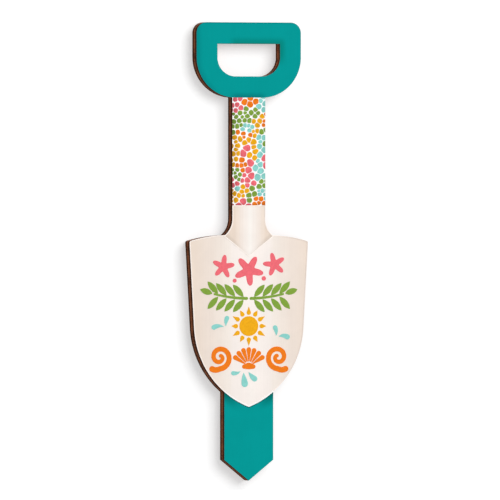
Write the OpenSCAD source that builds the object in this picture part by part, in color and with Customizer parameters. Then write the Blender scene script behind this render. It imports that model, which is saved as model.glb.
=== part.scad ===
// Flat souvenir stake in the outline of a D-handled beach spade, cut from one printed
// three-ply board. The face looks along -Y, the back along +Y, and the point is at the origin.
// Every layer is an outline drawn as x and height, laid between two depths in the board.

/* [Stake] */
// Width of the straight stake below the blade
stake_w = 22.8; // [20:0.1:24]
// Height of the cut point at the stake's foot
stake_point_h = 9.2; // [6:0.1:14]
// Height of the blade's tip above the stake's point
stake_h = 32.7; // [26:0.1:40]

/* [Blade] */
// Height of the blade from its tip to its shoulder corners
blade_h = 73.6; // [70:0.1:80]
// Width of the blade between its shoulder corners
blade_top_w = 55.4; // [53:0.1:58]
// Width of the blade where its sides turn into the two lower curves
blade_waist_w = 51.2; // [48:0.1:52]
// Radius of the lower curves
blade_curve_r = 39.6; // [36:0.1:42]
// Rise of the shoulders from their corners to the socket
shoulder_rise = 2.7; // [2:0.1:3.5]
// Radius of the shoulders' crown
shoulder_r = 61; // [50:1:90]
// Radius of the shoulder corners
shoulder_corner_r = 0.9; // [0.7:0.1:1.2]

/* [Socket] */
// Width of the shaft and of the socket's collar
shaft_w = 15.35; // [14:0.05:17]
// Radius of the hollow curve that spreads the socket onto the blade
flare_r = 9.4; // [8.5:0.1:11]
// Height of that curve
flare_h = 7.3; // [6:0.1:8]
// Height of the straight collar above the curve
collar_h = 5.95; // [3:0.05:10]
// Depth of the V that the socket cuts into the blade
socket_v_h = 8.9; // [7:0.1:10]

/* [Shaft] */
// Length of the pebbled shaft between the socket and the handle
shaft_h = 47.85; // [40:0.05:55]

/* [Handle] */
// Width of the D handle
handle_w = 48.7; // [46:0.1:52]
// Height of the D handle
handle_h = 33.4; // [32:0.1:36]
// Radius of its two upper corners
handle_top_r = 4.7; // [3:0.1:6]
// Radius of its two lower corners
handle_bottom_r = 18; // [14:0.1:20]
// Width of the grip hole
hole_w = 29.2; // [26:0.1:30]
// Height of the grip hole
hole_h = 14.5; // [12:0.1:15]
// Radius of the hole's two lower corners
hole_bottom_r = 8.4; // [5:0.1:9]
// Width of the bar above the hole
top_bar_h = 9.5; // [8:0.1:11]

/* [Board] */
// Thickness of each outer ply
ply_t = 1.9; // [1.2:0.1:2.2]
// Thickness of the middle ply
core_t = 2; // [1.4:0.1:3.4]
// Thickness of each glue line
glue_t = 0.1; // [0.05:0.01:0.2]
// Thickness of the printed facing
facing_t = 0.25; // [0.15:0.05:0.4]
// Height of the raised inks above the facing
ink_t = 0.1; // [0.06:0.01:0.2]

/* [Print] */
// Width of the light outline round the blade and the socket
outline_w = 0.45; // [0.3:0.05:0.6]
// Size of the pebbles, as a share of their usual radii
pebble_scale = 1; // [0.9:0.05:1.2]
// Gap between neighbouring pebbles
pebble_gap = 0.22; // [0.2:0.02:0.5]
// Points round one pebble
pebble_points = 18; // [12:2:24]
// Seed of the pebbles' places and sizes
pebble_seed = 7; // [1:1:99]

/* [Hidden] */
$fn = 96;

// Colours of the wood and of the inks
teal = [0, 0.6, 0.59];
cream = [0.97, 0.92, 0.87];
light_cream = [1, 0.98, 0.95];
white = [1, 1, 1];
char_brown = [0.35, 0.2, 0.13];
glue_brown = [0.2, 0.11, 0.07];
coral = [0.94, 0.42, 0.49];
orange = [0.97, 0.49, 0.12];
yellow = [0.98, 0.7, 0.14];
green = [0.51, 0.66, 0.24];
aqua = [0.55, 0.83, 0.8];

// Heights of the outline's stations, from the point upwards
blade_tip_z = stake_h;
shoulder_z = blade_tip_z + blade_h;
socket_corner_z = shoulder_z + shoulder_rise;
flare_z = socket_corner_z + flare_h;
shaft_z = flare_z + collar_h;
handle_z = shaft_z + shaft_h;
total_h = handle_z + handle_h;
hole_z = total_h - top_bar_h - hole_h;

// Depths of the layers, from the face (lowest y) to the back
total_t = ink_t + facing_t + 2 * ply_t + 2 * glue_t + core_t;
y_ink = -total_t / 2;
y_facing = y_ink + ink_t;
y_front_ply = y_facing + facing_t;
y_front_glue = y_front_ply + ply_t;
y_core = y_front_glue + glue_t;
y_back_glue = y_core + core_t;
y_back_ply = y_back_glue + glue_t;
y_back = y_back_ply + ply_t;

// Socket: the hollow curve's centre, and the corner where it meets the blade
flare_x = shaft_w / 2 + flare_r;
socket_corner_x = flare_x - sqrt(flare_r * flare_r - flare_h * flare_h);

// Socket: the V's tip, and its slope, which takes its ends a little way below the corner
v_tip_z = socket_corner_z - socket_v_h;
v_end_drop = 0.3;
v_slope = atan2(socket_v_h - v_end_drop, socket_corner_x);

// Blade: the lower curve's centre, and the straight side that leaves it as a tangent
curve_x = blade_waist_w / 2 - blade_curve_r;
curve_z = blade_tip_z + sqrt(pow(blade_curve_r, 2) - pow(curve_x, 2));
curve_centre = [curve_x, curve_z];
corner = [blade_top_w / 2, shoulder_z];
to_corner = corner - curve_centre;
side_turn = turn_of(to_corner) - acos(blade_curve_r / norm(to_corner));
side_out = [cos(side_turn), sin(side_turn)];
side_down = [sin(side_turn), -cos(side_turn)];

// Blade: the shoulder's crown passes through the corner and the socket's corner
chord = corner - [socket_corner_x, socket_corner_z];
crown_up = [-chord.y, chord.x] / norm(chord);
crown_centre = corner - chord / 2 - sqrt(pow(shoulder_r, 2) - pow(norm(chord) / 2, 2)) * crown_up;

// Blade: the centre of the small arc that rounds the corner, found by sliding down the side
from_crown = corner - shoulder_corner_r * side_out - crown_centre;
rise = -from_crown * side_down;
corner_centre = crown_centre + from_crown
    + (rise - sqrt(pow(rise, 2) - pow(norm(from_crown), 2) + pow(shoulder_r - shoulder_corner_r, 2))) * side_down;
crown_turn = turn_of(corner_centre - crown_centre);

// Direction of a vector, in degrees
function turn_of(v) = atan2(v.y, v.x);

// Points along an arc in equal steps
function arc(centre, r, from, to, steps) = [
    for (i = [0:steps])
        let (turn = from + (to - from) * i / steps)
        centre + r * [cos(turn), sin(turn)]
];

// The same points on the other side of the centre line, in the opposite order
function mirrored(points) = [for (i = [len(points) - 1:-1:0]) [-points[i].x, points[i].y]];

// Lays a flat outline between two depths
module layer(y_from, y_to) {
    translate([0, y_to, 0]) rotate([90, 0, 0]) linear_extrude(y_to - y_from) children();
}

// A shape and its mirror image across the centre line
module both_sides() {
    children();
    mirror([1, 0]) children();
}

// Upright bar of width w between two heights
module bar(w, z_from, z_to) {
    translate([-w / 2, z_from]) square([w, z_to - z_from]);
}

// Box on its bottom centre, with two radii for its lower and its upper corners (0 leaves them sharp)
module d_shape(w, h, r_bottom, r_top) {
    bar(w, r_bottom, h - r_top);
    bar(w - 2 * r_bottom, 0, h / 2);
    bar(w - 2 * r_top, h / 2, h);
    both_sides() {
        intersection() {
            translate([w / 2 - r_bottom, r_bottom]) circle(r_bottom);
            bar(w, 0, r_bottom);
        }
        if (r_top > 0) translate([w / 2 - r_top, h - r_top]) circle(r_top);
    }
}

module handle_2d() {
    translate([0, handle_z]) d_shape(handle_w, handle_h, handle_bottom_r, handle_top_r);
}

module hole_2d() {
    translate([0, hole_z]) d_shape(hole_w, hole_h, hole_bottom_r, 0);
}

// Everything above the socket's V, moved down by grow
module above_v_2d(grow = 0) {
    reach = 2 * socket_corner_x;
    translate([0, v_tip_z - grow / cos(v_slope)])
        polygon([[0, 0], [reach, reach * tan(v_slope)], [-reach, reach * tan(v_slope)]]);
}

// Collar, hollow flare and V of the socket, with its sides drawn in by inset
module socket_2d(inset = 0) {
    bar(shaft_w - 2 * inset, flare_z, shaft_z);
    difference() {
        intersection() {
            bar(2 * flare_x, v_tip_z, flare_z);
            above_v_2d();
        }
        both_sides() translate([flare_x, flare_z]) circle(flare_r + inset);
    }
}

// Blade, drawn in from its edge by inset: lower curve, straight side, round corner and crown
module blade_2d(inset = 0) {
    curve_r = blade_curve_r - inset;
    crown_r = shoulder_r - inset;
    right = concat(
        arc(curve_centre, curve_r, -acos(-curve_x / curve_r), side_turn, 26),
        arc(corner_centre, shoulder_corner_r - inset, side_turn, crown_turn, 6),
        arc(crown_centre, crown_r, crown_turn, acos(-crown_centre.x / crown_r), 12)
    );
    polygon(concat(right, mirrored([for (i = [1:len(right) - 2]) right[i]])));
}

module stake_2d() {
    polygon([
        [0, 0], [stake_w / 2, stake_point_h], [stake_w / 2, shoulder_z - blade_h / 2],
        [-stake_w / 2, shoulder_z - blade_h / 2], [-stake_w / 2, stake_point_h]
    ]);
}

// Outline of the whole board, with the grip hole
module board_2d() {
    difference() {
        union() {
            handle_2d();
            bar(shaft_w, shaft_z, handle_z + handle_h / 4);
            socket_2d();
            blade_2d();
            stake_2d();
        }
        hole_2d();
    }
}

// Wood: three plies and the two glue lines between them
module front_ply() {
    color(char_brown) layer(y_front_ply, y_front_glue) board_2d();
}

module front_glue_line() {
    color(glue_brown) layer(y_front_glue, y_core) board_2d();
}

module core_ply() {
    color(char_brown) layer(y_core, y_back_glue) board_2d();
}

module back_glue_line() {
    color(glue_brown) layer(y_back_glue, y_back_ply) board_2d();
}

module back_ply() {
    color(char_brown) layer(y_back_ply, y_back) board_2d();
}

// Facing: the printed skin on the face, one field for each part of the spade
module handle_facing() {
    color(teal) layer(y_facing, y_front_ply) difference() {
        handle_2d();
        hole_2d();
    }
}

module shaft_facing() {
    color(white) layer(y_facing, y_front_ply) difference() {
        bar(shaft_w, shaft_z, handle_z + handle_h / 4);
        handle_2d();
    }
}

module socket_facing() {
    color(cream) layer(y_facing, y_front_ply) socket_2d();
}

module blade_facing() {
    color(cream) layer(y_facing, y_front_ply) difference() {
        blade_2d();
        socket_2d();
    }
}

module stake_facing() {
    color(teal) layer(y_facing, y_front_ply) difference() {
        stake_2d();
        blade_2d();
    }
}

// Light line printed just inside the edges of the blade and of the socket
module light_outline() {
    color(light_cream) layer(y_ink, y_facing) {
        difference() {
            blade_2d();
            socket_2d();
            difference() {
                blade_2d(outline_w);
                above_v_2d(outline_w);
            }
        }
        difference() {
            socket_2d();
            socket_2d(outline_w);
        }
        bar(shaft_w, shaft_z - outline_w, shaft_z);
    }
}

// Colour patches of the shaft: x and height above the socket of each patch's middle, its ink and the radius
// of its pebbles
patches = [
    [-5, 44, "coral", 0.95], [1.5, 45, "orange", 1.25], [6.5, 43.5, "aqua", 1.05], [6.2, 41, "orange", 1.3],
    [-5, 39.5, "green", 0.95], [0, 39.5, "green", 0.95], [3.5, 41, "green", 0.85], [-6.5, 35, "green", 0.95],
    [6, 38.8, "yellow", 0.9], [5.2, 36.7, "yellow", 1.1], [3.7, 34.8, "yellow", 0.95], [4.2, 32.5, "yellow", 0.85],
    [7.5, 36, "orange", 0.7], [6.7, 33.5, "green", 0.95], [-0.5, 35, "aqua", 0.8], [-3, 31.2, "orange", 0.8],
    [0.6, 31.2, "orange", 0.8], [3, 30.5, "yellow", 0.85], [-6, 28.5, "yellow", 0.95], [-3.3, 28.4, "yellow", 1],
    [-0.3, 29, "yellow", 0.95], [1.9, 27.3, "yellow", 1.2], [2.1, 24.2, "yellow", 1.1], [2, 21.6, "yellow", 1],
    [-5.7, 25.5, "yellow", 0.95], [-6, 22.7, "yellow", 0.9], [-6.3, 19.5, "yellow", 0.85],
    [-2, 24.5, "coral", 1.35], [-1, 21, "coral", 1.4], [1, 17.5, "coral", 1.45], [-0.5, 15, "coral", 1.4],
    [5, 29.5, "aqua", 1.05], [4.7, 25.5, "aqua", 1.2], [5, 22, "aqua", 1.4], [4, 17.5, "aqua", 1.15],
    [4, 13.5, "aqua", 1.35], [6.5, 27.5, "green", 1.15], [6.5, 19, "coral", 1.35], [-4, 20.5, "orange", 1],
    [-3.5, 17, "orange", 0.9], [-6.5, 14.5, "green", 0.75], [-5, 12.5, "green", 0.75], [-3, 12, "coral", 0.75],
    [-5.5, 10.5, "coral", 0.9], [0, 10, "coral", 1.15], [4.5, 9, "green", 1], [1.5, 7, "green", 1.05],
    [-5, 8.3, "aqua", 1.1], [-5, 5.6, "yellow", 0.95], [-2, 6, "yellow", 0.95], [1.3, 4.5, "green", 1.05],
    [5.5, 5, "aqua", 0.8], [5, 1.5, "orange", 1.1], [-2.5, 1.5, "coral", 1.3]
];

// The patch that a place on the shaft belongs to
function patch_at(x, z) =
    let (gaps = [for (c = patches) norm([c.x - x, shaft_z + c.y - z])])
    patches[search(min(gaps), gaps)[0]];

// Pebbles are thrown at random on the shaft and a little beyond, large ones first, and each is kept if it
// stays clear of those kept before it. An entry is x, height, radius and ink.
pebble_tries = 3000;
pebble_overhang = 0.8;
first_size = 0.95;
last_size = 0.56;
throw_x = rands(-shaft_w / 2 - pebble_overhang, shaft_w / 2 + pebble_overhang, pebble_tries, pebble_seed);
throw_z = rands(shaft_z - pebble_overhang, handle_z + pebble_overhang, pebble_tries, pebble_seed + 1);

function thrown(i) =
    let (
        patch = patch_at(throw_x[i], throw_z[i]),
        size = first_size + (last_size - first_size) * i / pebble_tries
    )
    [throw_x[i], throw_z[i], patch[3] * pebble_scale * size, patch[2]];

function is_clear(p, kept) =
    len([for (q = kept) if (norm([q.x - p.x, q.y - p.y]) < q.z + p.z + pebble_gap) 1]) == 0;

function kept_pebbles(kept = [], i = 0) = i == pebble_tries ? kept :
    let (p = thrown(i))
    kept_pebbles(is_clear(p, kept) ? concat(kept, [p]) : kept, i + 1);

// Roundness of a pebble: a larger power gives it squarer corners
pebble_power = 8;
// How far a pebble may swell into the room round it, as a share of its radius
pebble_swell = 1.55;
// How near a neighbour has to be to shape a pebble
pebble_reach = 2;

// Neighbours of one pebble, each as the direction to it and the distance to the border between the two
function borders(p, pebbles) = [
    for (q = pebbles)
        let (across = [q.x - p.x, q.y - p.y], d = norm(across))
        if (d > 0 && d < p.z + q.z + pebble_reach)
            [across / d, (d * d + p.z * p.z - q.z * q.z) / (2 * d) - pebble_gap / 2]
];

// Distance from a pebble's centre to its rim along one direction: all its borders, rounded together
function rim_r(edges, reach, way) = pow(
    pow(1 / reach, pebble_power) + sum([for (e = edges) pow(max(0, e[0] * way) / e[1], pebble_power)]),
    -1 / pebble_power
);

function sum(list, i = 0) = i < len(list) ? list[i] + sum(list, i + 1) : 0;

// Outline of one whole pebble
function pebble_rim(p, pebbles) =
    let (edges = borders(p, pebbles))
    [
        for (k = [0:pebble_points - 1])
            let (turn = 360 * k / pebble_points, way = [cos(turn), sin(turn)])
            [p.x, p.y] + rim_r(edges, pebble_swell * p.z, way) * way
    ];

// What is left of an outline when the part further than reach along way is cut off
function cut_off(rim, way, reach) = len(rim) == 0 ? [] : [
    for (k = [0:len(rim) - 1])
        let (
            a = rim[k], b = rim[(k + 1) % len(rim)],
            over_a = way * a - reach, over_b = way * b - reach
        )
        each concat(
            over_a <= 0 ? [a] : [],
            over_a * over_b < 0 ? [a + (b - a) * over_a / (over_a - over_b)] : []
        )
];

// Outline of a pebble within the shaft's four edges
function cut_to_shaft(rim) = cut_off(
    cut_off(cut_off(cut_off(rim, [1, 0], shaft_w / 2), [-1, 0], shaft_w / 2), [0, 1], handle_z),
    [0, -1], -shaft_z
);

function area(rim) = len(rim) < 3 ? 0 : sum([
    for (k = [0:len(rim) - 1])
        let (a = rim[k], b = rim[(k + 1) % len(rim)])
        (a.x * b.y - b.x * a.y) / 2
]);

// Smallest pebble that is printed where the edge cuts one off
pebble_min_area = 0.3;

// All pebbles of one ink
module pebble_inks(ink) {
    pebbles = kept_pebbles();
    layer(y_ink, y_facing)
        for (p = pebbles)
            if (p[3] == ink) {
                rim = cut_to_shaft(pebble_rim(p, pebbles));
                if (area(rim) > pebble_min_area) polygon(rim);
            }
}

module pebbles_coral() {
    color(coral) pebble_inks("coral");
}

module pebbles_orange() {
    color(orange) pebble_inks("orange");
}

module pebbles_yellow() {
    color(yellow) pebble_inks("yellow");
}

module pebbles_green() {
    color(green) pebble_inks("green");
}

module pebbles_aqua() {
    color(aqua) pebble_inks("aqua");
}

// Steps round a half-circle end of a stroke or a drop
end_steps = 10;

// Brush stroke along a path, with its half width at each point; it starts round, and ends round or, where
// the last half width is 0, in a point
module brush(path, half) {
    last = len(path) - 1;
    turns = [for (i = [0:last]) turn_of(path[min(i + 1, last)] - path[max(i - 1, 0)])];
    sides = [for (i = [0:last]) half[i] * [-sin(turns[i]), cos(turns[i])]];
    polygon(concat(
        arc(path[0], half[0], turns[0] + 270, turns[0] + 90, end_steps),
        [for (i = [1:last - 1]) path[i] + sides[i]],
        half[last] > 0 ? arc(path[last], half[last], turns[last] + 90, turns[last] - 90, end_steps) : [path[last]],
        [for (i = [last - 1:-1:1]) path[i] - sides[i]]
    ));
}

// Stroke whose width runs evenly from w_from to w_to
module stroke(path, w_from, w_to) {
    last = len(path) - 1;
    brush(path, [for (i = [0:last]) (w_from + (w_to - w_from) * i / last) / 2]);
}

// Splash drop: round end of radius r at foot, point at tip, bent sideways by bow in its middle
drop_steps = 12;
module splash(foot, tip, r, bow) {
    along = tip - foot;
    aside = [-along.y, along.x] / norm(along);
    steps = [for (i = [0:drop_steps]) i / drop_steps];
    brush(
        [for (t = steps) foot + t * along + 4 * bow * t * (1 - t) * aside],
        [for (t = steps) r * (1 - pow(t, 1.7))]
    );
}

// Ray of the sun: round end of radius r on the origin, point at the distance reach above it
module ray(reach, r) {
    turn = asin(r / reach);
    polygon(concat([[0, reach]], arc([0, 0], r, turn, -180 - turn, 2 * end_steps)));
}

// Starfish of radius r with five round arms
starfish_arms = 5;
starfish_points = 80;
module starfish(r) {
    polygon([
        for (k = [0:starfish_points - 1])
            let (turn = 360 * k / starfish_points, swell = (1 + cos(starfish_arms * turn)) / 2)
            r * (0.42 + 0.58 * pow(swell, 1.2)) * [sin(turn), cos(turn)]
    ]);
}

// Row of starfish under the socket's V
starfish_z = shoulder_z - 12.9;
module starfish_print() {
    color(coral) layer(y_ink, y_facing) {
        translate([0, starfish_z]) rotate(42) starfish(6.9);
        translate([-11.9, starfish_z + 1.6]) rotate(-8) starfish(5.3);
        translate([11.9, starfish_z + 2.6]) rotate(14) starfish(5.3);
        translate([-6.6, starfish_z - 4.6]) circle(0.9);
        translate([7, starfish_z - 3.6]) circle(1);
    }
}

// Leaf with its foot on the origin, pointing up: two arcs through its foot and its point
module leaf(reach, w) {
    r = (reach * reach + w * w) / (4 * w);
    turn = asin(reach / (2 * r));
    right = arc([w / 2 - r, reach / 2], r, -turn, turn, 8);
    polygon(concat(right, mirrored([for (i = [1:7]) right[i]])));
}

// Garland of leaves that parts in the middle and rises towards both ends. The leaves stand clear of the
// stem, as in a stencil.
garland_z = shoulder_z - 25.4;
garland_pairs = 4;
garland_pitch = 3.95;
garland_lean = 48;
leaf_clearance = 0.9;
function garland_point(x) = [x, garland_z + 0.0075 * x * x];
module leaf_print() {
    color(green) layer(y_ink, y_facing) both_sides() {
        stroke([for (x = [1:1.5:16]) garland_point(x)], 1.3, 0.9);
        for (i = [0:garland_pairs - 1], up = [-1, 1])
            translate(garland_point(1.9 + garland_pitch * i)) rotate(-90 + up * garland_lean)
                translate([0, leaf_clearance]) leaf(7.3, 2.7);
        translate(garland_point(17)) rotate(-72) leaf(6, 2.7);
    }
}

// Sun with long and short rays
sun_z = shoulder_z - 37.7;
sun_rays = 12;
sun_r = 4.4;
module sun_print() {
    color(yellow) layer(y_ink, y_facing) translate([0, sun_z]) {
        circle(sun_r);
        for (i = [0:sun_rays - 1])
            rotate(360 * i / sun_rays) translate([0, sun_r + 1.6]) ray(i % 2 == 0 ? 2.7 : 2.1, 0.98);
    }
}

// Scallop shell of seven ribs between two curling waves
shell_z = shoulder_z - 55.5;
shell_ribs = 7;
shell_rib_turn = 19.5;
curl_turns = 1.4;
curl_r = 5.2;
curl_middle = [13.6, shell_z + 4];
// One curling wave: a spiral that unwinds to its lowest point and runs out as a ripple
curl = concat(
    [
        for (t = [0:0.03125:1])
            let (turn = -90 - 360 * curl_turns * (1 - t), r = 0.8 + (curl_r - 0.8) * t)
            r * [cos(turn), sin(turn)]
    ],
    [for (t = [0.15:0.14:1]) [3.6 * t, -curl_r - 0.45 * sin(180 * t)]]
);
module shell_print() {
    color(orange) layer(y_ink, y_facing) {
        translate([0, shell_z]) {
            for (i = [0:shell_ribs - 1])
                rotate(shell_rib_turn * (i - (shell_ribs - 1) / 2)) stroke([[0, 2.4], [0, 4.9], [0, 7.4]], 0.64, 2.14);
            brush([[-2.1, -0.2], [-1, 0], [0, 0.1], [1, 0], [2.1, -0.2]], [1, 1.35, 1.5, 1.35, 1]);
        }
        both_sides() translate(curl_middle) stroke(curl, 1.7, 2.6);
    }
}

// Splash drops: a pair each side of the sun and a fan of three under the shell, each as its foot and its
// tip, with heights above the blade's tip, its radius and its bow
splashes = [
    [[-16.3, 35.4], [-11.6, 35.6], 1.1, 0.5], [[-10.2, 39.4], [-10.7, 35.9], 1.05, -0.25],
    [[12.3, 35.2], [12.8, 31.6], 1.05, 0.25], [[18, 31.1], [13.9, 31.2], 1.15, -0.5],
    [[-7.3, 15], [-3.9, 15.9], 0.95, -0.4], [[-1.9, 10.3], [-2.4, 15.2], 1.5, 0.1],
    [[2.7, 12.5], [-0.1, 15.5], 1.25, 0.2]
];
module splash_drops() {
    color(aqua) layer(y_ink, y_facing)
        for (s = splashes)
            translate([0, blade_tip_z]) splash(s[0], s[1], s[2], s[3]);
}

front_ply();
front_glue_line();
core_ply();
back_glue_line();
back_ply();
handle_facing();
shaft_facing();
socket_facing();
blade_facing();
stake_facing();
light_outline();
pebbles_coral();
pebbles_orange();
pebbles_yellow();
pebbles_green();
pebbles_aqua();
starfish_print();
leaf_print();
sun_print();
shell_print();
splash_drops();
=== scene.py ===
"""Looks of a printed wooden souvenir stake in the outline of a beach spade.

The CAD nodes keep their shapes. This script gives every one of them a procedural material, and adds the
camera, the lights, a pale backdrop behind the board and a pale floor under it. Lengths in the materials are
in millimetres, because each material measures its surface in millimetres.
"""

import math

import bpy
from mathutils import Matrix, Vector


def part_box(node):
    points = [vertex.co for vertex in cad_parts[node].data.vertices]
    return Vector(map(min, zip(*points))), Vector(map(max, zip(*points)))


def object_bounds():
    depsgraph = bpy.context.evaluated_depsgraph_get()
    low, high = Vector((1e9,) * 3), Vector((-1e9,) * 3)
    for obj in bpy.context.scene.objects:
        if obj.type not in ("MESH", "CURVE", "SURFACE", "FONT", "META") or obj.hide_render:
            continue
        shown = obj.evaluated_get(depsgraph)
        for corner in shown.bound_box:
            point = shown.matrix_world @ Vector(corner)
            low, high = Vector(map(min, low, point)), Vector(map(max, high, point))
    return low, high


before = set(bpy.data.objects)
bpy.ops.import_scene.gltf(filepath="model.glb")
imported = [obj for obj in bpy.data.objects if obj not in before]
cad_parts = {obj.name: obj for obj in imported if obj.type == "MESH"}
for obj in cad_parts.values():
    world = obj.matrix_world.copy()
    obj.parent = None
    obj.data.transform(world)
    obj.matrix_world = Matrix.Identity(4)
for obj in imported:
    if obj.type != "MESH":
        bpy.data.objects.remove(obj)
cad_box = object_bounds()

# ---- Light and view -------------------------------------------------------------------------------------

# Share of the face's light that comes from all round, and the share that comes from the key light
SKY_SHARE = 0.49
KEY_SHARE = 0.62
# Where the key light stands, seen from the face: degrees to the right and degrees up, then its distance and
# size in metres, which the back light shares
KEY_RIGHT = 28
KEY_UP = 25
KEY_DISTANCE = 1.5
KEY_SIZE = 1.05
# Share of full light that the back light gives the back, and where it stands
BACK_SHARE = 0.4
BACK_RIGHT = 150
BACK_UP = 35

# Camera: degrees round from the face, lens and sensor in millimetres, height of the picture in metres
VIEW_TURN = -18
LENS = 1000
SENSOR = 36
PICTURE_H = 0.2221
# The picture's middle, seen from the middle of the face's foot: metres to the right and up
AIM_RIGHT = 0.0005
AIM_UP = 0.1024

# Gap between the board's back and the backdrop, gap between its point and the floor, and how far the backdrop
# and the floor reach, in metres
BACKDROP_GAP = 0.0001
FLOOR_GAP = 0.0045
STAGE_REACH = 4
# Light added to the backdrop and the floor, so that both stay white where no shadow falls, and the light
# added further off, where the key light no longer reaches, between two distances in millimetres
BACKDROP_GLOW = 0.45
FLOOR_GLOW = 0.55
FAR_GLOW = 1.0
FAR_FROM = 180
FAR_FULL = 600
STAGE_WHITE = 0.62

# ---- Sizes of the print, in millimetres -----------------------------------------------------------------

MM = 1000
# Lowest and highest corners of the print's fields
handle_low, handle_high = (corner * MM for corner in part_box("handle_facing"))
shaft_low, shaft_high = (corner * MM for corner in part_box("shaft_facing"))
socket_low, socket_high = (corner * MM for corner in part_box("socket_facing"))
blade_low, blade_high = (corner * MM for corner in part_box("blade_facing"))
stake_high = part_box("stake_facing")[1] * MM
board_low = cad_box[0] * MM
# The grip hole's half width, the bars above and below it, the handle's lower corners, and the V's slope
HOLE_HALF_W = 14.6
TOP_BAR_H = 9.5
BOTTOM_BAR_H = 9.4
HANDLE_BOTTOM_R = 18
V_SLOPE = math.radians(37.8)
# Where the right-hand side of the collar begins, beside the middle
COLLAR_SIDE_X = 6
# The blade's lower curve: its radius, and its centre's place beside the middle and above the blade's tip
BLADE_CURVE_R = 39.6
BLADE_CURVE_X = 25.6 - BLADE_CURVE_R
BLADE_CURVE_RISE = math.sqrt(BLADE_CURVE_R ** 2 - BLADE_CURVE_X ** 2)
# How far the painted shades reach: round the grip hole, along the handle's left edge, over the shaft, under
# the blade and along the V; then the fine dark lines on the handle's top rim and right under the blade
HOLE_SHADE = 3.8
LEFT_SHADE = 3.2
SHAFT_SHADE = 3
BLADE_SHADE = 5
V_SHADE = 2.4
TOP_LINE = 0.8
BLADE_LINE = 0.6
# How far the middles of the cream fields' shading stand to the right of the board's middle
BLADE_SHADE_SHIFT = 1.1
SOCKET_SHADE_SHIFT = 0.6


def srgb(red, green, blue):
    """Linear colour of a display colour given from 0 to 255."""
    parts = [part / 255 for part in (red, green, blue)]
    return tuple(p / 12.92 if p <= 0.04045 else ((p + 0.055) / 1.055) ** 2.4 for p in parts) + (1,)


TEAL = srgb(0, 153, 151)
HANDLE_TEAL = srgb(0, 149, 147)
# Darker teals for the print's painted shade by the grip hole, at the handle's left edge, over the shaft and
# under the blade, and for its fine dark lines
TEAL_BY_HOLE = srgb(0, 128, 119)
TEAL_AT_LEFT = srgb(0, 132, 132)
TEAL_OVER_SHAFT = srgb(0, 124, 124)
TEAL_TOP_LINE = srgb(0, 131, 132)
TEAL_UNDER_BLADE = srgb(0, 108, 103)
TEAL_BLADE_LINE = srgb(0, 84, 84)
WHITE = srgb(254, 254, 254)
WHITE_EDGE = srgb(228, 226, 222)
OUTLINE_CREAM = srgb(254, 244, 236)
OUTLINE_DULL = srgb(233, 220, 210)
CORAL = srgb(240, 110, 120)
ORANGE = srgb(242, 125, 27)
YELLOW = srgb(242, 174, 26)
GREEN = srgb(130, 164, 64)
AQUA = srgb(141, 212, 204)
# Each ink's name and colour, and the motif on the blade that is printed in it
INKS = [
    ("coral", CORAL, "starfish_print"), ("orange", ORANGE, "shell_print"), ("yellow", YELLOW, "sun_print"),
    ("green", GREEN, "leaf_print"), ("aqua", AQUA, "splash_drops"),
]
# The cream fields shade from their middle outwards: distance from the middle and colour there
BLADE_SHADES = [
    (0, srgb(250, 242, 236)), (4, srgb(249, 240, 234)), (8, srgb(246, 237, 231)), (11, srgb(243, 233, 224)),
    (15, srgb(240, 228, 218)), (19, srgb(238, 224, 213)), (27, srgb(236, 220, 206)),
]
SOCKET_SHADES = [
    (0, srgb(250, 244, 238)), (2, srgb(246, 237, 230)), (4, srgb(242, 230, 221)), (5.8, srgb(239, 224, 211)),
    (7.4, srgb(233, 216, 201)),
]
CHAR_DARK = srgb(86, 41, 15)
CHAR_MID = srgb(168, 98, 60)
CHAR_BLACK = srgb(54, 27, 12)
GLUE_BROWN = srgb(84, 52, 34)
# Painted light: how much paler the char is painted on the upper walls of the grip hole, and how far that fades
# above its foot
HOLE_PAINTED_LIGHT = 1.7
HOLE_PAINTED_LIGHT_FADE = 6
BARE_WOOD_PALE = srgb(230, 206, 170)
BARE_WOOD_DEEP = srgb(203, 169, 127)


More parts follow.
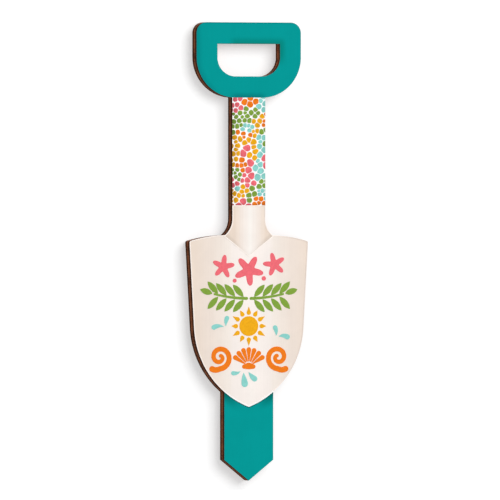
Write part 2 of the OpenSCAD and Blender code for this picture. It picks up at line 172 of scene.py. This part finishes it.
class Shade:
    """One material's nodes, with a short call for each kind of node that the materials use."""

    def __init__(self, name):
        self.material = bpy.data.materials.new(name)
        self.material.use_nodes = True
        self.tree = self.material.node_tree
        self.tree.nodes.clear()
        place = self.add("ShaderNodeTexCoord").outputs["Object"]
        self.place = self.vector("SCALE", place, scale=MM)
        split = self.add("ShaderNodeSeparateXYZ", place_in=self.place)
        self.x, _, self.z = split.outputs

    def add(self, kind, place_in=None, **settings):
        node = self.tree.nodes.new(kind)
        for name, value in settings.items():
            setattr(node, name, value)
        if place_in is not None:
            self.feed(node.inputs[0], place_in)
        return node

    def feed(self, socket, value):
        """Joins a socket to a node's output, or sets it to a plain value."""
        if isinstance(value, bpy.types.NodeSocket):
            self.tree.links.new(value, socket)
        else:
            socket.default_value = value

    def vector(self, operation, a, b=None, scale=None):
        node = self.add("ShaderNodeVectorMath", operation=operation)
        self.feed(node.inputs[0], a)
        if b is not None:
            self.feed(node.inputs[1], b)
        if scale is not None:
            self.feed(node.inputs["Scale"], scale)
        return node.outputs["Value" if operation == "LENGTH" else "Vector"]

    def math(self, operation, a, b=None):
        node = self.add("ShaderNodeMath", operation=operation)
        self.feed(node.inputs[0], a)
        if b is not None:
            self.feed(node.inputs[1], b)
        return node.outputs[0]

    def times(self, *factors):
        """Product of all the factors."""
        product = factors[0]
        for factor in factors[1:]:
            product = self.math("MULTIPLY", product, factor)
        return product

    def blended(self, first, first_share, second, second_share):
        """Sum of two values, each times its share."""
        return self.math("ADD", self.times(first, first_share), self.times(second, second_share))

    def away(self, across, up):
        """Distance from a centre to a point that lies so far across and up from it."""
        return self.math("SQRT", self.math("ADD", self.math("POWER", across, 2), self.math("POWER", up, 2)))

    def beside(self):
        """Distance to either side of the board's middle."""
        return self.math("ABSOLUTE", self.x)

    def fade(self, value, start, end, at_start=0.0, at_end=1.0):
        """Runs smoothly from at_start to at_end while value runs from start to end."""
        node = self.add("ShaderNodeMapRange", interpolation_type="SMOOTHSTEP")
        for name, given in zip(("Value", "From Min", "From Max", "To Min", "To Max"),
                               (value, start, end, at_start, at_end)):
            self.feed(node.inputs[name], given)
        return node.outputs["Result"]

    def noise(self, stretch=(1, 1, 1), detail=2.0, roughness=0.5, shift=(0, 0, 0)):
        """Noise from 0 to 1 whose grains are 1 mm divided by stretch along each axis."""
        at = self.vector("ADD", self.vector("MULTIPLY", self.place, stretch), shift)
        node = self.add("ShaderNodeTexNoise", place_in=at)
        self.feed(node.inputs["Scale"], 1.0)
        self.feed(node.inputs["Detail"], detail)
        self.feed(node.inputs["Roughness"], roughness)
        return node.outputs["Fac"]

    def blend(self, share, a, b):
        """Colour a where share is 0 and b where it is 1."""
        node = self.add("ShaderNodeMix", data_type="RGBA")
        self.feed(node.inputs[0], share)
        self.feed(node.inputs[6], a)
        self.feed(node.inputs[7], b)
        return node.outputs[2]

    def level(self, share, a, b):
        """Number a where share is 0 and b where it is 1."""
        node = self.add("ShaderNodeMix", data_type="FLOAT")
        for place, value in zip((0, 2, 3), (share, a, b)):
            self.feed(node.inputs[place], value)
        return node.outputs[0]

    def dim(self, colour, share):
        """Colour times share."""
        return self.vector("SCALE", colour, scale=share)

    def shades(self, distance, stops):
        """Colour that follows a list of distances and colours."""
        reach = stops[-1][0]
        node = self.add("ShaderNodeValToRGB")
        ramp = node.color_ramp
        ramp.interpolation = "EASE"
        while len(ramp.elements) < len(stops):
            ramp.elements.new(0.5)
        for element, (at, colour) in zip(ramp.elements, stops):
            element.position = at / reach
            element.color = colour
        self.feed(node.inputs[0], self.math("DIVIDE", distance, reach))
        return node.outputs["Color"]

    def cut_side(self):
        """1 on the walls that the cutter left, 0 on the flat faces."""
        normal = self.add("ShaderNodeNewGeometry").outputs["True Normal"]
        across = self.add("ShaderNodeSeparateXYZ", place_in=normal).outputs["Y"]
        return self.fade(self.math("ABSOLUTE", across), 0.75, 0.55)

    def bump(self, height, depth):
        """Normal of a surface whose height runs over depth millimetres."""
        node = self.add("ShaderNodeBump")
        self.feed(node.inputs["Height"], height)
        node.inputs["Strength"].default_value = 1.0
        node.inputs["Distance"].default_value = depth / MM
        return node.outputs["Normal"]

    def finish(self, colour, roughness, normal, specular):
        shader = self.add("ShaderNodeBsdfPrincipled")
        self.feed(shader.inputs["Base Color"], colour)
        self.feed(shader.inputs["Roughness"], roughness)
        self.feed(shader.inputs["Normal"], normal)
        shader.inputs["Specular IOR Level"].default_value = specular
        output = self.add("ShaderNodeOutputMaterial")
        self.tree.links.new(shader.outputs[0], output.inputs["Surface"])
        return self.material


# ---- Wood -----------------------------------------------------------------------------------------------

def painted_light_in_hole(shade):
    """1 on the upper walls of the grip hole, where painted light makes the char paler, fading to 0 at its foot,
    and 0 on the board's outer walls.
    """
    hole_top = handle_high.z - TOP_BAR_H
    hole_foot = handle_low.z + BOTTOM_BAR_H
    across = shade.fade(shade.beside(), HOLE_HALF_W + 1, HOLE_HALF_W + 0.5)
    under_top = shade.fade(shade.z, hole_top + 1, hole_top + 0.5)
    over_foot = shade.fade(shade.z, hole_foot, hole_foot + HOLE_PAINTED_LIGHT_FADE)
    return shade.times(under_top, over_foot, across)


def charred(shade, tone):
    """Colour and height of a laser-cut wall: streaks across the board, darker patches, and painted light that
    makes it paler in the hole.
    """
    streaks = shade.noise((3.2, 0.12, 3.2), detail=3, roughness=0.6)
    fine = shade.noise((11, 0.5, 11), detail=2, shift=(7, 3, 1))
    patches = shade.noise((0.22, 0.3, 0.22), detail=2, shift=(5, 0, 9))
    burn = shade.blended(streaks, 0.6, patches, 0.6)
    colour = shade.blend(shade.fade(burn, 0.45, 0.85), tone, CHAR_BLACK)
    colour = shade.dim(colour, shade.fade(fine, 0.2, 0.8, 0.84, 1.16))
    # Painted light: the char is painted paler on the upper walls of the grip hole
    colour = shade.dim(colour, shade.fade(painted_light_in_hole(shade), 0, 1, 1.0, HOLE_PAINTED_LIGHT))
    return colour, shade.blended(streaks, 1.0, fine, 0.5)


def bare_wood(shade):
    """Colour and height of sanded bare wood with its grain along the length."""
    bend = shade.noise((0.035, 0.02, 0.006), detail=2, shift=(2, 0, 4))
    rings = shade.math("SINE", shade.blended(shade.x, 1.1, bend, 34))
    bands = shade.noise((0.9, 0.3, 0.012), detail=3, shift=(9, 1, 0))
    fibres = shade.noise((7, 2, 0.16), detail=3, roughness=0.65)
    pores = shade.noise((9, 4, 0.55), detail=1, shift=(3, 8, 2))
    depth = shade.blended(rings, 0.17, bands, 0.75)
    colour = shade.blend(shade.fade(depth, 0.05, 0.7), BARE_WOOD_PALE, BARE_WOOD_DEEP)
    colour = shade.dim(colour, shade.fade(fibres, 0.25, 0.75, 0.88, 1.07))
    colour = shade.dim(colour, shade.fade(pores, 0.66, 0.8, 1.0, 0.8))
    return colour, shade.blended(fibres, 0.6, shade.fade(pores, 0.62, 0.8), -1.0)


def ply_wood(name, tone, soot=False):
    """A ply: charred on its cut walls and bare on its flat faces, with soot along the edges if asked."""
    shade = Shade(name)
    char_colour, char_height = charred(shade, tone)
    wood_colour, wood_height = bare_wood(shade)
    if soot:
        inside = shade.add("ShaderNodeAmbientOcclusion", inside=True, only_local=True, samples=12)
        inside.inputs["Distance"].default_value = 1.25 / MM
        edge = shade.fade(inside.outputs["AO"], 0.98, 0.62)
        wavy = shade.times(edge, shade.noise((0.5, 0.5, 0.5), detail=2, shift=(1, 1, 6)))
        wood_colour = shade.blend(wavy, wood_colour, CHAR_DARK)
    side = shade.cut_side()
    colour = shade.blend(side, wood_colour, char_colour)
    height = shade.level(side, wood_height, char_height)
    rough = shade.fade(side, 0, 1, 0.72, 0.86)
    return shade.finish(colour, rough, shade.bump(height, 0.05), 0.06)


def glue_line(name):
    """Resin line between two plies, burnt to a dark, slightly shiny seam."""
    shade = Shade(name)
    beads = shade.noise((2.4, 1, 2.4), detail=2)
    colour = shade.blend(shade.fade(beads, 0.35, 0.7), CHAR_BLACK, GLUE_BROWN)
    rough = shade.fade(beads, 0.3, 0.7, 0.45, 0.7)
    return shade.finish(colour, rough, shade.bump(beads, 0.03), 0.2)


# ---- Print ----------------------------------------------------------------------------------------------

def print_skin(shade):
    """Height and roughness of the printed skin: fine orange peel, with the wood's grain showing through."""
    peel = shade.noise((2.6, 2.6, 2.6), detail=2)
    grain = shade.noise((1.5, 0.5, 0.03), detail=3, shift=(4, 2, 8))
    rough = shade.fade(grain, 0.3, 0.7, 0.4, 0.52)
    return shade.blended(peel, 0.5, grain, 0.5), rough


def print_tint(shade, colour):
    """The print's own unevenness: faint cloudiness, and faint lines along the grain."""
    cloud = shade.noise((0.16, 0.16, 0.16), detail=2, shift=(6, 6, 1))
    lines = shade.noise((2.2, 0.5, 0.05), detail=2, shift=(8, 2, 3))
    colour = shade.dim(colour, shade.fade(cloud, 0.3, 0.7, 0.985, 1.015))
    return shade.dim(colour, shade.fade(lines, 0.3, 0.7, 0.99, 1.01))


def printed(shade, colour):
    """Finishes a facing: the print on its face, and charred wood on its cut walls."""
    height, rough = print_skin(shade)
    char_colour, _ = charred(shade, CHAR_DARK)
    colour = shade.blend(shade.cut_side(), print_tint(shade, colour), char_colour)
    return shade.finish(colour, rough, shade.bump(height, 0.012), 0.05)


def handle_print():
    """Teal, with painted shade above and right of the grip hole, along the left edge and over the shaft, and
    darker at the top rim.
    """
    shade = Shade("teal_print_handle")
    # Painted shade above and right of the grip hole
    hole_top = handle_high.z - TOP_BAR_H
    past_right = shade.math("MAXIMUM", shade.math("SUBTRACT", shade.x, HOLE_HALF_W), 0)
    past_top = shade.math("MAXIMUM", shade.math("SUBTRACT", shade.z, hole_top), 0)
    from_hole = shade.away(past_right, past_top)
    from_left = shade.fade(shade.x, -HOLE_HALF_W + 4, -HOLE_HALF_W + 9)
    down_right = shade.fade(shade.z, hole_top - 11, hole_top - 4)
    near_hole = shade.times(from_left, down_right, shade.fade(from_hole, HOLE_SHADE, 0))
    colour = shade.blend(shade.times(near_hole, 0.9), HANDLE_TEAL, TEAL_BY_HOLE)

    # Painted shade along the handle's left edge
    centre_x = handle_low.x + HANDLE_BOTTOM_R
    centre_z = handle_low.z + HANDLE_BOTTOM_R
    left = shade.math("MINIMUM", shade.math("SUBTRACT", shade.x, centre_x), 0)
    down = shade.math("MINIMUM", shade.math("SUBTRACT", shade.z, centre_z), 0)
    at_edge = shade.fade(shade.away(left, down), HANDLE_BOTTOM_R - LEFT_SHADE, HANDLE_BOTTOM_R)
    at_left = shade.times(at_edge, shade.fade(shade.x, handle_low.x + 12, handle_low.x + 4))
    colour = shade.blend(shade.times(at_left, 0.8), colour, TEAL_AT_LEFT)

    # Painted shade over the shaft, at the handle's foot
    over_shaft = shade.times(shade.fade(shade.z, handle_low.z + SHAFT_SHADE, handle_low.z),
                             shade.fade(shade.beside(), 10, 5))
    colour = shade.blend(over_shaft, colour, TEAL_OVER_SHAFT)
    top_line = shade.fade(shade.z, handle_high.z - TOP_LINE, handle_high.z - 0.3, 0.0, 0.85)
    return printed(shade, shade.blend(top_line, colour, TEAL_TOP_LINE))


def stake_print():
    """Teal, with a soft shade under the blade's curved edge and a thin dark line right along it."""
    shade = Shade("teal_print_stake")
    x_from_centre = shade.math("SUBTRACT", shade.beside(), BLADE_CURVE_X)
    z_from_centre = shade.math("SUBTRACT", shade.z, blade_low.z + BLADE_CURVE_RISE)
    below_blade = shade.math("SUBTRACT", shade.away(x_from_centre, z_from_centre), BLADE_CURVE_R)
    corners = shade.fade(shade.beside(), 3, stake_high.x, 0.08, 1.0)
    under_blade = shade.times(shade.fade(below_blade, BLADE_SHADE, 0), corners)
    colour = shade.blend(under_blade, TEAL, TEAL_UNDER_BLADE)
    line = shade.fade(below_blade, BLADE_LINE, 0.2, 0.0, 0.85)
    return printed(shade, shade.blend(line, colour, TEAL_BLADE_LINE))


def shaft_print():
    """White ground under the pebbles."""
    shade = Shade("white_print")
    edge = shade.fade(shade.beside(), shaft_high.x - 0.8, shaft_high.x, 0.0, 0.05)
    return printed(shade, shade.blend(edge, WHITE, WHITE_EDGE))


def blade_print():
    """Cream that shades from its middle to its sides."""
    shade = Shade("cream_print_blade")
    distance = shade.math("ABSOLUTE", shade.math("SUBTRACT", shade.x, BLADE_SHADE_SHIFT))
    return printed(shade, shade.shades(distance, BLADE_SHADES))


def socket_print():
    """Cream that shades round like a tube, with a darker line along the V."""
    shade = Shade("cream_print_socket")
    distance = shade.math("ABSOLUTE", shade.math("SUBTRACT", shade.x, SOCKET_SHADE_SHIFT))
    colour = shade.shades(distance, SOCKET_SHADES)
    rise = shade.math("SUBTRACT", shade.z, socket_low.z)
    above_v = shade.blended(rise, math.cos(V_SLOPE), shade.beside(), -math.sin(V_SLOPE))
    in_corners = shade.fade(shade.beside(), 2, 9, 0.35, 1.0)
    shadow = shade.times(shade.fade(above_v, V_SHADE, 0.2), in_corners)
    return printed(shade, shade.dim(colour, shade.fade(shadow, 0, 1, 1.0, 0.88)))


def ink(name, colour, patchy_and_shaded=False):
    """Raised ink, a little uneven; on the shaft it is patchier, and painted shade darkens it towards the edges
    as if it went round a tube and along its foot under the collar.
    """
    shade = Shade(name)
    pool = shade.noise((1.1, 0.5, 1.1), detail=2, shift=(3, 1, 7))
    speckle = shade.noise((6, 2, 6), detail=1, shift=(1, 9, 4))
    tint = shade.dim(colour[:3], shade.fade(pool, 0.25, 0.75, 0.93, 1.05))
    tint = shade.dim(tint, shade.fade(speckle, 0.3, 0.7, 0.97, 1.03))
    if patchy_and_shaded:
        patchy = shade.noise((0.55, 0.2, 0.55), detail=1, shift=(2, 5, 2))
        tint = shade.dim(tint, shade.fade(patchy, 0.3, 0.7, 0.86, 1.04))
        # Painted shade: darker towards the shaft's left and right edges, as if round a tube, and along its foot
        # under the collar
        tint = shade.dim(tint, shade.fade(shade.x, shaft_low.x - 0.5, shaft_low.x + 4, 0.6, 1.0))
        tint = shade.dim(tint, shade.fade(shade.x, shaft_high.x - 2, shaft_high.x + 0.5, 1.0, 0.86))
        tint = shade.dim(tint, shade.fade(shade.z, shaft_low.z, shaft_low.z + 1.6, 0.7, 1.0))
    height = shade.blended(pool, 0.7, speckle, 0.3)
    rough = shade.fade(pool, 0.3, 0.7, 0.36, 0.48)
    return shade.finish(tint, rough, shade.bump(height, 0.02), 0.1)


def outline_ink():
    """Light outline ink, brighter on the left as a painted highlight: duller down the right and beside the
    collar, charred where it was cut, and clean white over the stake.
    """
    shade = Shade("outline_ink")
    # Painted highlight: the outline is brighter on the left, and duller down the right and beside the collar's
    # right side
    to_right = shade.fade(shade.x, stake_high.x, blade_high.x - 6)
    beside_collar = shade.times(shade.fade(shade.x, COLLAR_SIDE_X - 1, COLLAR_SIDE_X + 1),
                                shade.fade(shade.z, blade_high.z, socket_high.z))
    tint = shade.blend(shade.math("MAXIMUM", to_right, beside_collar), OUTLINE_CREAM, OUTLINE_DULL)
    curve_centre_z = blade_low.z + BLADE_CURVE_RISE
    over_stake = shade.times(shade.fade(shade.beside(), stake_high.x + 0.1, stake_high.x - 0.1),
                             shade.fade(shade.z, curve_centre_z, curve_centre_z - 2))
    tint = shade.blend(over_stake, tint, WHITE)
    pool = shade.noise((1.1, 0.5, 1.1), detail=2, shift=(3, 1, 7))
    tint = shade.dim(tint, shade.fade(pool, 0.25, 0.75, 0.98, 1.02))

    char_colour, _ = charred(shade, CHAR_DARK)
    blade_middle = (0, board_low.y, (blade_low.z + blade_high.z) / 2)
    outward = shade.vector("SUBTRACT", shade.place, blade_middle)
    faces_out = shade.add("ShaderNodeVectorMath", operation="DOT_PRODUCT", place_in=outward)
    shade.feed(faces_out.inputs[1], shade.add("ShaderNodeNewGeometry").outputs["True Normal"])
    cut = shade.times(shade.cut_side(), shade.fade(faces_out.outputs["Value"], 0, 1))
    cut = shade.times(cut, shade.math("SUBTRACT", 1.0, over_stake))
    return shade.finish(shade.blend(cut, tint, char_colour), 0.42, shade.bump(pool, 0.02), 0.1)


def dress(name, material):
    """Gives a CAD node its material."""
    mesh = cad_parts[name].data
    mesh.materials.clear()
    mesh.materials.append(material)


def dress_all():
    dress("front_ply", ply_wood("charred_front", CHAR_DARK))
    dress("core_ply", ply_wood("charred_core", CHAR_MID))
    dress("back_ply", ply_wood("charred_back", CHAR_DARK, soot=True))
    seam = glue_line("burnt_glue")
    dress("front_glue_line", seam)
    dress("back_glue_line", seam)
    dress("handle_facing", handle_print())
    dress("shaft_facing", shaft_print())
    dress("socket_facing", socket_print())
    dress("blade_facing", blade_print())
    dress("stake_facing", stake_print())
    dress("light_outline", outline_ink())
    for name, colour, motif in INKS:
        dress("pebbles_" + name, ink(name + "_pebble_ink", colour, patchy_and_shaded=True))
        dress(motif, ink(name + "_ink", colour))


# ---- Stage ----------------------------------------------------------------------------------------------

def direction(right, up):
    """Unit vector from the face towards a place so many degrees to the right and up."""
    turn, rise = math.radians(right), math.radians(up)
    return Vector((math.sin(turn) * math.cos(rise), -math.cos(turn) * math.cos(rise), math.sin(rise)))


def stage_material(name, glow, one_sided):
    """Matt white with a little light of its own; one-sided, it isn't there for anyone behind it."""
    shade = Shade(name)
    diffuse = shade.add("ShaderNodeBsdfDiffuse")
    diffuse.inputs["Color"].default_value = (STAGE_WHITE, STAGE_WHITE, STAGE_WHITE, 1)
    light = shade.add("ShaderNodeEmission")
    distance = shade.vector("LENGTH", shade.place)
    shade.feed(light.inputs["Strength"], shade.fade(distance, FAR_FROM, FAR_FULL, glow, FAR_GLOW))
    surface = shade.add("ShaderNodeAddShader")
    shade.feed(surface.inputs[0], diffuse.outputs[0])
    shade.feed(surface.inputs[1], light.outputs[0])
    if one_sided:
        front = surface
        surface = shade.add("ShaderNodeMixShader")
        shade.feed(surface.inputs[0], shade.add("ShaderNodeNewGeometry").outputs["Backfacing"])
        shade.feed(surface.inputs[1], front.outputs[0])
        shade.feed(surface.inputs[2], shade.add("ShaderNodeBsdfTransparent").outputs[0])
    output = shade.add("ShaderNodeOutputMaterial")
    shade.feed(output.inputs["Surface"], surface.outputs[0])
    return shade.material


def stage_plane(name, corners, material):
    """A flat stage piece that only the camera sees, so that it doesn't light the object."""
    mesh = bpy.data.meshes.new(name)
    mesh.from_pydata(corners, [], [range(len(corners))])
    mesh.materials.append(material)
    plane = bpy.data.objects.new(name, mesh)
    bpy.context.scene.collection.objects.link(plane)
    plane.visible_diffuse = False
    plane.visible_glossy = False
    plane.visible_shadow = False
    return plane


def build_stage():
    back_y = cad_box[1].y + BACKDROP_GAP
    floor_z = cad_box[0].z - FLOOR_GAP
    reach = STAGE_REACH
    level = [(x, y, floor_z) for x, y in ((-reach, -reach), (reach, -reach), (reach, reach), (-reach, reach))]
    upright = [(x, back_y, z) for x, z in ((-reach, floor_z), (reach, floor_z))]
    upright += [(x, back_y, reach) for x in (reach, -reach)]
    stage_plane("backdrop", upright, stage_material("backdrop_white", BACKDROP_GLOW, one_sided=True))
    stage_plane("floor", level, stage_material("floor_white", FLOOR_GLOW, one_sided=False))


def area_light(name, way, share, incidence):
    """Square light that gives the board a share of full light, from a direction, facing its middle."""
    data = bpy.data.lights.new(name, "AREA")
    data.size = KEY_SIZE
    data.energy = share * math.pi ** 2 * KEY_DISTANCE ** 2 / incidence
    light = bpy.data.objects.new(name, data)
    bpy.context.scene.collection.objects.link(light)
    middle = (cad_box[0] + cad_box[1]) / 2
    light.location = middle + way * KEY_DISTANCE
    light.rotation_euler = (-way).to_track_quat("-Z", "Y").to_euler()
    light.visible_camera = False
    return light


def build_lights():
    key_way = direction(KEY_RIGHT, KEY_UP)
    key = area_light("key", key_way, KEY_SHARE, -key_way.y)
    key.visible_glossy = False
    back_way = direction(BACK_RIGHT, BACK_UP)
    area_light("back_light", back_way, BACK_SHARE, back_way.y)


def build_sky():
    """White behind everything, and an even, dimmer light from all round."""
    world = bpy.data.worlds.new("sky")
    bpy.context.scene.world = world
    world.use_nodes = True
    tree = world.node_tree
    tree.nodes.clear()
    seen = tree.nodes.new("ShaderNodeBackground")
    lit = tree.nodes.new("ShaderNodeBackground")
    lit.inputs["Strength"].default_value = SKY_SHARE
    choice = tree.nodes.new("ShaderNodeMixShader")
    path = tree.nodes.new("ShaderNodeLightPath")
    output = tree.nodes.new("ShaderNodeOutputWorld")
    for background in (seen, lit):
        background.inputs["Color"].default_value = (1, 1, 1, 1)
    tree.links.new(path.outputs["Is Camera Ray"], choice.inputs[0])
    tree.links.new(lit.outputs[0], choice.inputs[1])
    tree.links.new(seen.outputs[0], choice.inputs[2])
    tree.links.new(choice.outputs[0], output.inputs["Surface"])


def build_camera():
    data = bpy.data.cameras.new("camera")
    data.lens = LENS
    data.sensor_width = SENSOR
    data.clip_end = 100
    camera = bpy.data.objects.new("camera", data)
    bpy.context.scene.collection.objects.link(camera)
    back = direction(VIEW_TURN, 0)
    right = Vector((-back.y, back.x, 0))
    foot_middle = Vector((0, cad_box[0].y, 0))
    aim = foot_middle + AIM_RIGHT * right + Vector((0, 0, AIM_UP))
    camera.location = aim + back * (PICTURE_H * LENS / SENSOR)
    camera.rotation_mode = "QUATERNION"
    camera.rotation_quaternion = (-back).to_track_quat("-Z", "Y")
    bpy.context.scene.camera = camera
    bpy.context.scene.view_settings.view_transform = "Standard"


build_camera()
dress_all()
build_stage()
build_lights()
build_sky()
